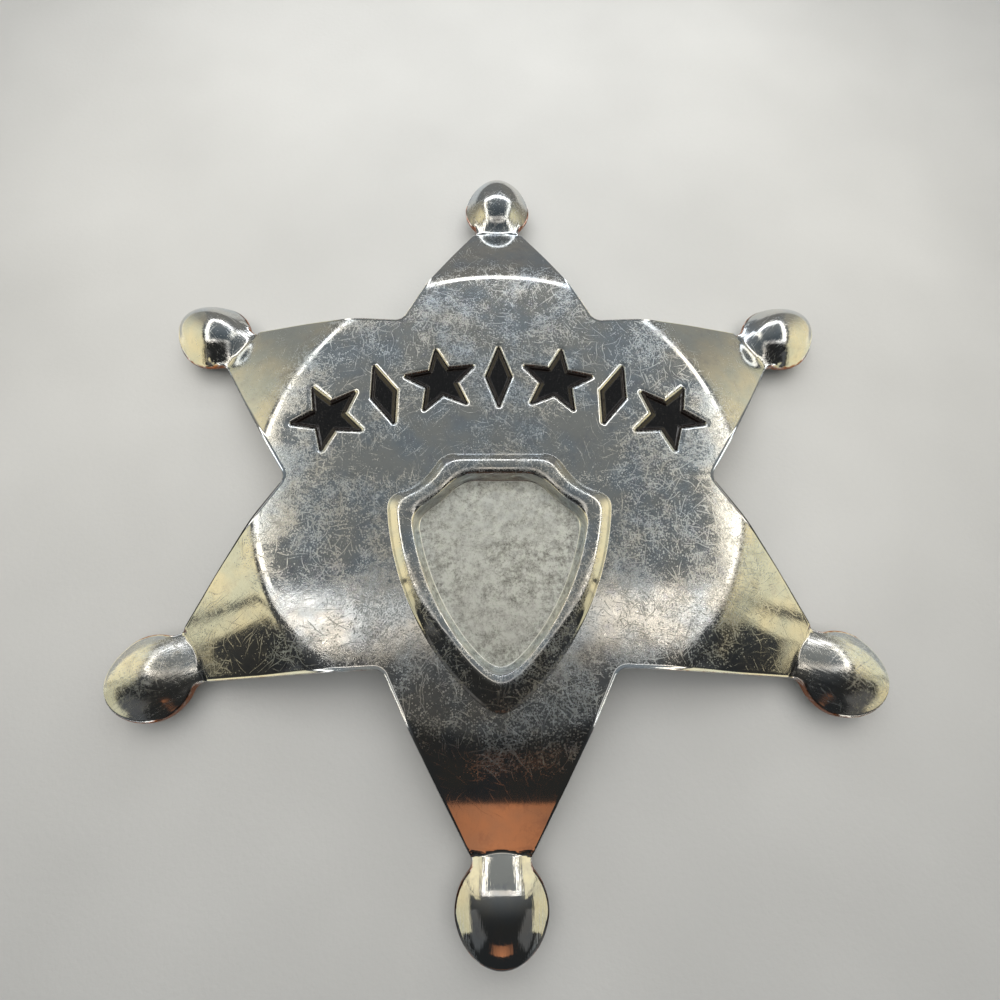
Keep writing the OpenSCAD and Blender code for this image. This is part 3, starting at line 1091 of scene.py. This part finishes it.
tree.links.new(rough, shader.inputs["Roughness"])
height = haze
for mark, share in ((pits, -0.1), (scratches, -0.3), (brushed, 0.7)):
    height = add(tree, "Math", {0: mark, 1: share, 2: height}, operation="MULTIPLY_ADD")
bump = add(tree, "Bump", {"Height": height, "Strength": 1.0, "Distance": 0.005 * MM})
tree.links.new(bump, shader.inputs["Normal"])
print("plate so far", len(tree.nodes), "nodes")

# %% [markdown]
# ## Nickel plate: tarnish and bare brass
#
# The plate isn't one colour. Patches lean to blue or to straw, as thin tarnish does. Along parts of the
# cut edge and of the balls' rims the plate is worn through or never took, and the copper-brown base
# metal shows. The worn border of that brown is broken up with noise, because wear follows no line.
# Grey grime sits in small specks where the face is worn, most of all in the field of the shield, which
# is otherwise the palest part because the punch left it matte. The colours are laid over each other
# one by one, as coats are.

# %% Nickel plate: tarnish and bare brass
shade = add(tree, "TexNoise", {"Vector": mm, "Scale": 0.3, "Detail": 3.0})
shade = add(tree, "MapRange", {0: shade, 1: 0.35, 2: 0.65}, interpolation_type="SMOOTHSTEP")
tint = add(tree, "TexNoise", {"Vector": mm, "Scale": 0.75, "Detail": 4.0, "Roughness": 0.7})
tint = add(tree, "MapRange", {0: tint, 1: 0.54, 2: 0.72, 4: 0.6})
ragged = add(tree, "TexNoise", {"Vector": mm, "Scale": 1.6, "Detail": 4.0, "Roughness": 0.65})
bare = add(tree, "Math", {0: ragged, 1: 0.9, 2: edge}, operation="MULTIPLY_ADD")
bare = add(tree, "MapRange", {0: bare, 1: 1.22, 2: 1.42})
bare = add(tree, "Math", {0: bare, 1: ball}, operation="MULTIPLY")
raw = add(tree, "MapRange", {0: ragged, 1: 0.5, 2: 0.64})
raw = add(tree, "Math", {0: raw, 1: cut}, operation="MULTIPLY")
bare = add(tree, "Math", {0: bare, 1: raw}, operation="MAXIMUM")
grime = add(tree, "TexNoise", {"Vector": mm, "Scale": 1.1, "Detail": 7.0, "Roughness": 0.82})
grime = add(tree, "MapRange", {0: grime, 1: 0.44, 2: 0.64})
grime = add(tree, "Math", {0: grime, 1: wear}, operation="MULTIPLY")
grime = add(tree, "Math", {0: grime, 1: 0.42}, operation="MULTIPLY")
colour = paint("#d4d3ce")
for share, code in (
    (shade, "#c2cad1"), (tint, "#b3b4bd"), (field, "#f4f7f4"), (grime, "#76756f"), (bare, "#8f5d41"),
):
    coats = {"Factor": share, "A": colour, "B": paint(code)}
    colour = add(tree, "Mix", coats, data_type="RGBA").node.outputs["Result"]
tree.links.new(colour, shader.inputs["Base Color"])
shader.inputs["Metallic"].default_value = 1.0
star.data.materials.append(nickel)
print("nickel plate", len(tree.nodes), "nodes")

# %% [markdown]
# ## Black enamel
#
# The fills are stoved enamel: a black coat with a glossy skin that isn't quite level. Three things keep
# it from looking like wet paint. The skin has a slow orange-peel ripple, dust and tiny burst bubbles
# dull it in spots, and it is thin and brownish where it climbs the walls of the metal.

# %% Black enamel
enamel, tree, shader, mm = finish_called("black_stoving_enamel")
thin = add(tree, "Attribute", attribute_name="wall").node.outputs["Fac"]
peel = add(tree, "TexNoise", {"Vector": mm, "Scale": 1.5, "Detail": 2.0, "Roughness": 0.4})
dust = add(tree, "TexNoise", {"Vector": mm, "Scale": 8.0, "Detail": 3.0, "Roughness": 0.7})
dust = add(tree, "MapRange", {0: dust, 1: 0.61, 2: 0.72}, interpolation_type="SMOOTHSTEP")
bubbles = add(tree, "TexVoronoi", {"Vector": mm, "Scale": 1.9}).node.outputs["Distance"]
bubbles = add(tree, "MapRange", {0: bubbles, 1: 0.12, 2: 0.06}, interpolation_type="SMOOTHSTEP")
smear = add(tree, "TexNoise", {"Vector": mm, "Scale": 0.6, "Detail": 4.0, "Roughness": 0.6})
smear = add(tree, "MapRange", {0: smear, 1: 0.45, 2: 0.7})
dusty = add(tree, "Math", {0: dust, 1: 0.2}, operation="MULTIPLY")
colour = paint("#0e0d10")
for share, code in ((thin, "#1d1513"), (dusty, "#6b6660")):
    coats = {"Factor": share, "A": colour, "B": paint(code)}
    colour = add(tree, "Mix", coats, data_type="RGBA").node.outputs["Result"]
tree.links.new(colour, shader.inputs["Base Color"])
rough = 0.07
for mark, share in ((dust, 0.3), (smear, 0.08)):
    rough = add(tree, "Math", {0: mark, 1: share, 2: rough}, operation="MULTIPLY_ADD")
tree.links.new(rough, shader.inputs["Roughness"])
height = peel
for mark, share in ((bubbles, -0.8), (dust, 0.2)):
    height = add(tree, "Math", {0: mark, 1: share, 2: height}, operation="MULTIPLY_ADD")
bump = add(tree, "Bump", {"Height": height, "Strength": 1.0, "Distance": 0.03 * MM})
tree.links.new(bump, shader.inputs["Normal"])
for fill in fills:
    fill.data.materials.append(enamel)
print("enamel", len(tree.nodes), "nodes")

# %% [markdown]
# ## Drawn steel
#
# The pin is bright steel strip. Drawing and rolling leave long fine lines along the strip, and years
# in a drawer add a straw-coloured bloom and a few dark spots of rust that has been rubbed away. The
# photograph hides the pin, so this is plain and in step with the rest of the badge.

# %% Drawn steel
steel, tree, shader, mm = finish_called("drawn_steel")
lines = add(tree, "Mapping", {"Vector": mm, "Scale": (0.25, 7.0, 7.0)})
lines = add(tree, "TexNoise", {"Vector": lines, "Scale": 1.0, "Detail": 4.0, "Roughness": 0.7})
bloom = add(tree, "TexNoise", {"Vector": mm, "Scale": 0.35, "Detail": 5.0, "Roughness": 0.65})
bloom = add(tree, "MapRange", {0: bloom, 1: 0.42, 2: 0.68}, interpolation_type="SMOOTHSTEP")
spots = add(tree, "TexNoise", {"Vector": mm, "Scale": 2.6, "Detail": 4.0, "Roughness": 0.6})
spots = add(tree, "MapRange", {0: spots, 1: 0.66, 2: 0.74}, interpolation_type="SMOOTHSTEP")
colour = paint("#c9cac8")
for share, code in ((bloom, "#b5a68c"), (spots, "#5d463a")):
    coats = {"Factor": share, "A": colour, "B": paint(code)}
    colour = add(tree, "Mix", coats, data_type="RGBA").node.outputs["Result"]
tree.links.new(colour, shader.inputs["Base Color"])
shader.inputs["Metallic"].default_value = 1.0
rough = 0.08
for mark, share in ((lines, 0.28), (bloom, 0.12), (spots, 0.35)):
    rough = add(tree, "Math", {0: mark, 1: share, 2: rough}, operation="MULTIPLY_ADD")
tree.links.new(rough, shader.inputs["Roughness"])
height = add(tree, "Math", {0: spots, 1: -0.6, 2: lines}, operation="MULTIPLY_ADD")
bump = add(tree, "Bump", {"Height": height, "Strength": 1.0, "Distance": 0.008 * MM})
tree.links.new(bump, shader.inputs["Normal"])
bar_pin.data.materials.append(steel)
print("steel", len(tree.nodes), "nodes")

# %% [markdown]
# ## The floor
#
# The badge lies on a plain pale board. A mirror shows what it lies on along every steep edge, so the
# board is even and matte, with only a trace of the tooth that card has.

# %% The floor
FLOOR_HALF = 600 * MM
floor_mesh = bpy.data.meshes.new("pale_floor")
floor_corners = [(x * FLOOR_HALF, y * FLOOR_HALF, 0) for x, y in ((-1, -1), (1, -1), (1, 1), (-1, 1))]
floor_mesh.from_pydata(floor_corners, [], [(0, 1, 2, 3)])
floor = bpy.data.objects.new("pale_floor", floor_mesh)
bpy.context.scene.collection.objects.link(floor)
floor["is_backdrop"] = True
board, tree, shader, mm = finish_called("pale_matte_board")
tooth = add(tree, "TexNoise", {"Vector": mm, "Scale": 2.2, "Detail": 4.0, "Roughness": 0.6})
slow = add(tree, "TexNoise", {"Vector": mm, "Scale": 0.05, "Detail": 2.0})
pale = add(tree, "Math", {0: tooth, 1: 0.12, 2: slow}, operation="MULTIPLY_ADD")
pale = add(tree, "MapRange", {0: pale, 1: 0.35, 2: 0.8})
coats = {"Factor": pale, "A": paint("#c6c6c3"), "B": paint("#d0d0cd")}
card = add(tree, "Mix", coats, data_type="RGBA").node.outputs["Result"]
tree.links.new(card, shader.inputs["Base Color"])
shader.inputs["Roughness"].default_value = 0.75
bump = add(tree, "Bump", {"Height": tooth, "Strength": 0.4, "Distance": 0.05 * MM})
tree.links.new(bump, shader.inputs["Normal"])
floor.data.materials.append(board)
print("floor", round(2 * FLOOR_HALF / MM), "mm square")

# %% [markdown]
# ## The light
#
# A mirror has no look of its own, so the light is most of the picture. The reflections in the
# photograph give it away: a rectangle of lamps overhead with the camera looking down through it, and a
# pale wall on each side. Towards the front each wall goes on as a narrow fold, behind a thin gap that
# the near side arms show as a line, and then as a low panel. Further round in front stand two dim
# panels, and between them something copper-coloured, low down. It shines in a narrow cone, so that it
# tints the bottom arm and leaves the border alone. All are area lights that the camera doesn't see.
# The panels at the sides and in front light the badge only, so that the floor keeps one soft shadow.

# %% The light
DOWN = (0, 0, -1)
LAMP_Z = 48
WALL_X = 56
SIDES = (("left", -1), ("right", 1))
badge_only = bpy.data.collections.new("badge_only")
for piece in [star, bar_pin] + fills:
    badge_only.objects.link(piece)


def panel(name, centre, size, toward, radiance, colour, for_badge=False):
    """A flat glowing panel in millimetres that the camera itself doesn't see."""
    light = bpy.data.lights.new(name, "AREA")
    light.shape = "RECTANGLE"
    light.size = size[0] * MM
    light.size_y = size[1] * MM
    light.color = paint(colour)[:3]
    light.energy = radiance * math.pi * size[0] * size[1] * MM * MM
    holder = bpy.data.objects.new(name, light)
    holder.location = Vector(centre) * MM
    holder.rotation_euler = Vector(toward).to_track_quat("-Z", "Y").to_euler()
    holder.visible_camera = False
    if for_badge:
        holder.light_linking.receiver_collection = badge_only
    bpy.context.scene.collection.objects.link(holder)
    return holder


front_lamp = panel("lamp_front", (0, -6, LAMP_Z), (94, 8), DOWN, 1.1, "#fff6ea")
panel("lamp_back", (0, 70, LAMP_Z), (94, 16), DOWN, 3.9, "#ffffff")
for hand, side in SIDES:
    panel("lamp_" + hand, (side * 42, 30, LAMP_Z), (10, 64), DOWN, 3.1, "#fff8ea")
panel("zenith", (0, 30, LAMP_Z + 1), (74, 64), DOWN, 0.13, "#b8cad4")
side_panels = (
    ("wall", 33, 23, (94, 44), 1.3),
    ("fold", -17.6, 23, (4, 44), 1.2),
    ("low", -42, 9, (44, 18), 1.0),
)
for part, y, z, size, radiance in side_panels:
    for hand, side in SIDES:
        panel(f"{hand}_{part}", (side * WALL_X, y, z), size, (-side, 0, 0), radiance, "#eee0b4", True)
for hand, side in SIDES:
    panel(hand + "_front", (side * 52, -58, 28), (44, 34), (-side * 50, 50, -26), 0.15, "#d8d4d0", True)
copper = panel("copper", (0, -62, 26.8), (28, 9), (0, 36, -22.8), 0.076, "#cf8355", True)
copper.data.spread = math.radians(52)
floor_light = panel("floor_light", (0, 20, 170), (220, 220), DOWN, 1.8, "#ffffff")
floor_only = bpy.data.collections.new("floor_only")
floor_only.objects.link(floor)
floor_light.light_linking.receiver_collection = floor_only
print("lights", ", ".join(light.name for light in bpy.data.lights))

# %% [markdown]
# ## The light: uneven lamps and walls
#
# The front lamp is a strip of small diodes behind a weak diffuser, and the photograph shows them as
# rows of dots near both its ends. The side walls get dimmer towards the back, which gives the far arms
# their slow change from cream to grey-brown. Both are small formulas of the place on the panel, where
# a picture of the lamp would have to be painted first.

# %% The light: uneven lamps and walls
DIODES_PER_M = (385, 310, 0)
front_lamp.data.use_nodes = True
tree = front_lamp.data.node_tree
spot = add(tree, "NewGeometry").node.outputs["Position"]
grid = add(tree, "VectorMath", {0: spot, 1: DIODES_PER_M}, operation="MULTIPLY")
dots = {"Vector": grid, "Scale": 1.0, "Randomness": 0.12}
dots = add(tree, "TexVoronoi", dots, voronoi_dimensions="2D")
dots = add(tree, "MapRange", {0: dots, 1: 0.24, 2: 0.16})
across = add(tree, "SeparateXYZ", {0: spot})
ends = add(tree, "Math", {0: across}, operation="ABSOLUTE")
ends = add(tree, "MapRange", {0: ends, 1: 0.012, 2: 0.024, 3: 0.3, 4: 5.0})
glow = add(tree, "Math", {0: dots, 1: ends, 2: 0.7}, operation="MULTIPLY_ADD")
tree.links.new(glow, tree.nodes["Emission"].inputs["Strength"])
for hand, side in SIDES:
    wall_light = bpy.data.lights[hand + "_wall"]
    wall_light.use_nodes = True
    tree = wall_light.node_tree
    spot = add(tree, "NewGeometry").node.outputs["Position"]
    depth = add(tree, "SeparateXYZ", {0: spot}).node.outputs["Y"]
    glow = {0: depth, 1: 0.012, 2: 0.06, 3: 1.0, 4: 0.14}
    glow = add(tree, "MapRange", glow, interpolation_type="SMOOTHSTEP")
    tree.links.new(glow, tree.nodes["Emission"].inputs["Strength"])
print("diodes", round(1000 / DIODES_PER_M[0], 1), "mm apart")

# %% [markdown]
# ## The dim room
#
# Whatever a mirror sees beyond the lamps is the room. It is dark on the camera's side and a little
# lighter at the back.

# %% The dim room
world = bpy.data.worlds.new("dim_room")
world.use_nodes = True
sky = world.node_tree
heading = add(sky, "TexCoord").node.outputs["Generated"]
back = add(sky, "SeparateXYZ", {0: heading}).node.outputs["Y"]
glow = {0: back, 1: -0.5, 2: 0.95, 3: 0.03, 4: 0.27}
glow = add(sky, "MapRange", glow, interpolation_type="SMOOTHSTEP")
sky.links.new(glow, sky.nodes["Background"].inputs["Strength"])
sky.nodes["Background"].inputs["Color"].default_value = paint("#f4f4f0")
bpy.context.scene.world = world
print("room", world.name)

# %% [markdown]
# ## Size and finish
#
# The box of the CAD pieces and the box of the dressed pieces are both printed. The dressed pieces must
# fill the same box as the CAD pieces.

# %% Size and finish
made_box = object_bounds()
sizes = {"cad": cad_box, "scene": made_box}
sizes = {name: [[float(v) for v in corner] for corner in box] for name, box in sizes.items()}
for name, box in sizes.items():
    print(name, [[round(v / MM, 3) for v in corner] for corner in box])
